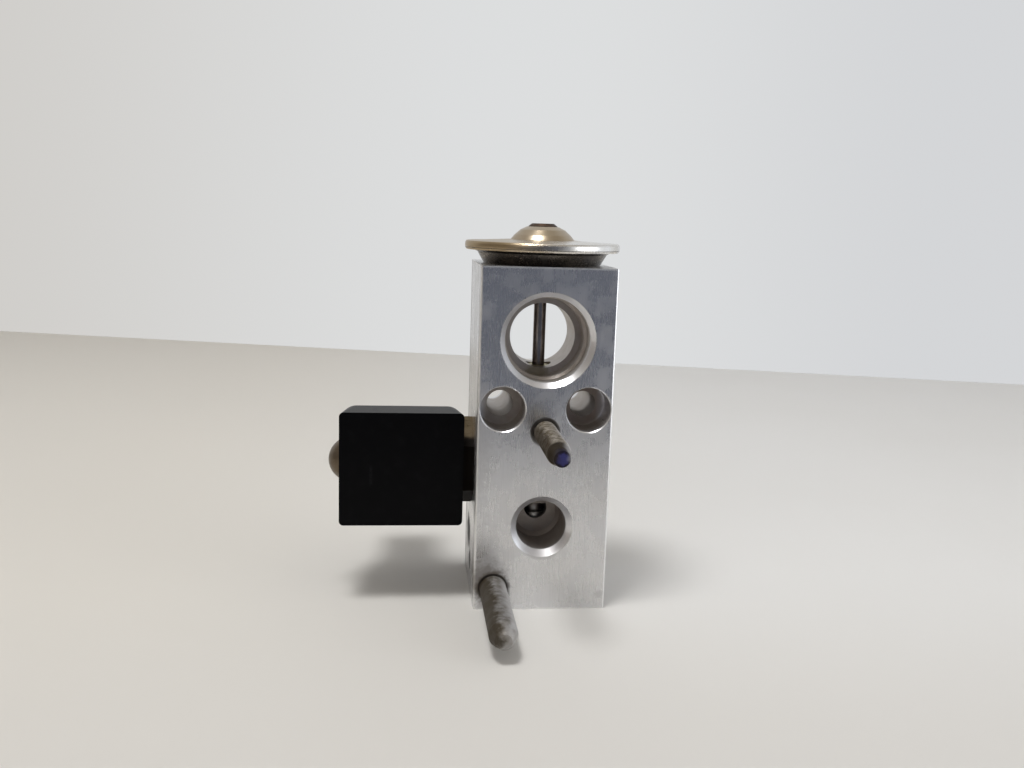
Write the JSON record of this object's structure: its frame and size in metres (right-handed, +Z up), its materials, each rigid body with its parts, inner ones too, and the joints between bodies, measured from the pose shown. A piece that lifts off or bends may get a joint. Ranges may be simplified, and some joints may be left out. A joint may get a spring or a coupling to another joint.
{
  "type": "thermostatic expansion valve",
  "caption": "Block-type thermostatic expansion valve with a diaphragm head, through suction passage, liquid inlet, rear outlet and a side solenoid shut-off.",
  "frame": {"origin": "the valve axis where it crosses the plane of the block's base", "axes": "+Z up the valve axis to the head, +Y from the front face with the stud to the rear face, +X to the right, away from the coil"},
  "size_m": [0.0767, 0.0851, 0.1006],
  "materials": {
    "block_aluminium": "satin machined, lightly scuffed",
    "stud_steel": "weathered, blue marked tip",
    "pin_steel": "weathered",
    "cup_steel": "stamped, slightly tinted",
    "cover_steel": "stamped, faint gold tint",
    "diaphragm_steel": "bright",
    "plug_copper": "dark brazed",
    "seal_rubber": "matt",
    "pad_aluminium": "turned",
    "rod_steel": "ground",
    "guide_brass": "dull",
    "ball_steel": "polished",
    "spring_steel": "bright wire",
    "screw_brass": "turned",
    "nut_plated": "yellow plated",
    "tube_steel": "drawn",
    "core_steel": "turned",
    "coil_plastic": "matt black moulding",
    "yoke_steel": "zinc plated",
    "bobbin_plastic": "moulded",
    "winding_copper": "enamelled wire",
    "cap_steel": "domed, tarnished",
    "terminal_brass": "tinned"
  },
  "bodies": {
    "body": {"valve_body": "block_aluminium", "threaded_stud": "stud_steel", "locating_pin": "pin_steel", "head_lower_cup": "cup_steel", "head_upper_cover": "cover_steel", "diaphragm": "diaphragm_steel", "charge_plug": "plug_copper", "head_seal": "seal_rubber", "rod_guide": "guide_brass", "rod_seal": "seal_rubber", "valve_spring": "spring_steel", "tube_nut": "nut_plated", "nut_seal": "seal_rubber", "armature_tube": "tube_steel", "fixed_core": "core_steel", "coil_housing": "coil_plastic", "coil_yoke": "yoke_steel", "coil_bobbin": "bobbin_plastic", "coil_winding": "winding_copper", "retaining_cap": "cap_steel", "terminal_left": "terminal_brass", "terminal_right": "terminal_brass"},
    "valve_train": {"thrust_pad": "pad_aluminium", "push_rod": "rod_steel", "valve_ball": "ball_steel", "ball_carrier": "core_steel"},
    "plunger_unit": {"plunger": "core_steel", "plunger_seal": "seal_rubber", "plunger_spring": "spring_steel"},
    "adjuster_ring": {"adjuster_seal": "seal_rubber"},
    "adjuster_screw": {"adjusting_screw": "screw_brass"}
  },
  "joints": [
    {"name": "valve_lift", "type": "slide", "parent": "body", "child": "valve_train", "axis": [0, 0, -1], "range_m": [0, 0.0008], "stiffness_N_per_m": 800, "springref_m": -0.0005, "deforming": ["valve_spring"]},
    {"name": "plunger_slide", "type": "slide", "parent": "body", "child": "plunger_unit", "axis": [-1, 0, 0], "range_m": [0, 0.0018], "stiffness_N_per_m": 400, "springref_m": -0.002},
    {"name": "adjuster_slide", "type": "slide", "parent": "body", "child": "adjuster_ring", "axis": [0, 0, -1], "range_m": [0, 0.00075]},
    {"name": "adjuster_turn", "type": "hinge", "parent": "adjuster_ring", "child": "adjuster_screw", "pos_m": [0, 0, 0.006], "axis": [0, 0, -1], "range_deg": [0, 270]}
  ],
  "couplings": [
    {"joint": "adjuster_turn", "follows": "adjuster_slide", "rad_per_m": 6283.2}
  ]
}
